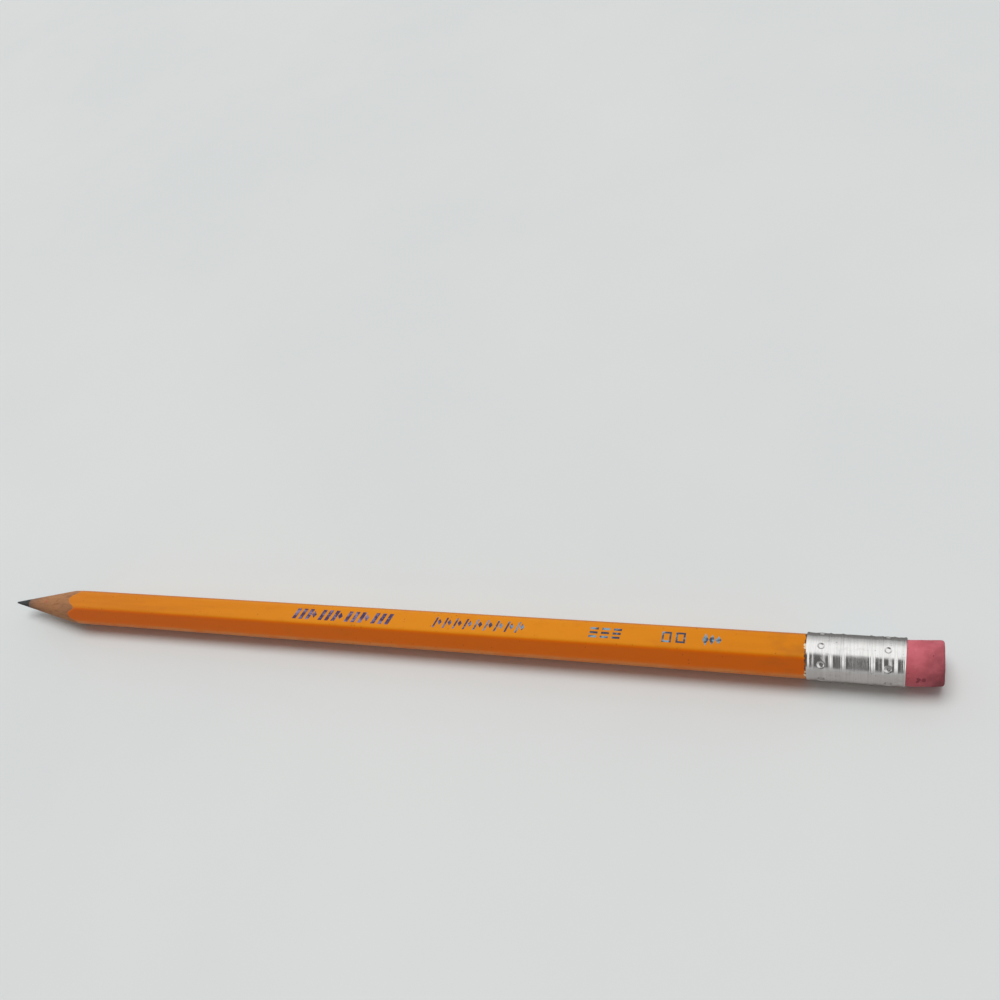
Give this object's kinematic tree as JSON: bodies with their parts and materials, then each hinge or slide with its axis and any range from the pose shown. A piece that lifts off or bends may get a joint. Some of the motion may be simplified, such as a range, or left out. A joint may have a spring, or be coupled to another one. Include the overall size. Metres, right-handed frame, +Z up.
{
  "type": "pencil",
  "caption": "Hexagonal wooden graphite pencil, sharpened, with a crimped and punched metal sleeve that holds a worn pink rubber.",
  "frame": {"origin": "middle of the pencil's length, on its centre line, at the level of its lowest line, which is the floor it lies on", "axes": "+X along the pencil from the point towards the rubber, +Z up through one of the six flats, +Y across"},
  "size_m": [0.188, 0.0076, 0.0077],
  "materials": {
    "casing": "orange lacquer over pale wood, bare on the sharpened cone",
    "graphite": "dark fired graphite and clay with a soft metallic sheen",
    "sleeve": "thin bright sheet, finely scratched around",
    "rubber": "matte pink, dirty at the worn edge"
  },
  "bodies": {
    "root": {"casing_upper": "casing", "casing_lower": "casing", "graphite_core": "graphite", "ferrule": "sleeve", "eraser": "rubber"}
  },
  "joints": []
}
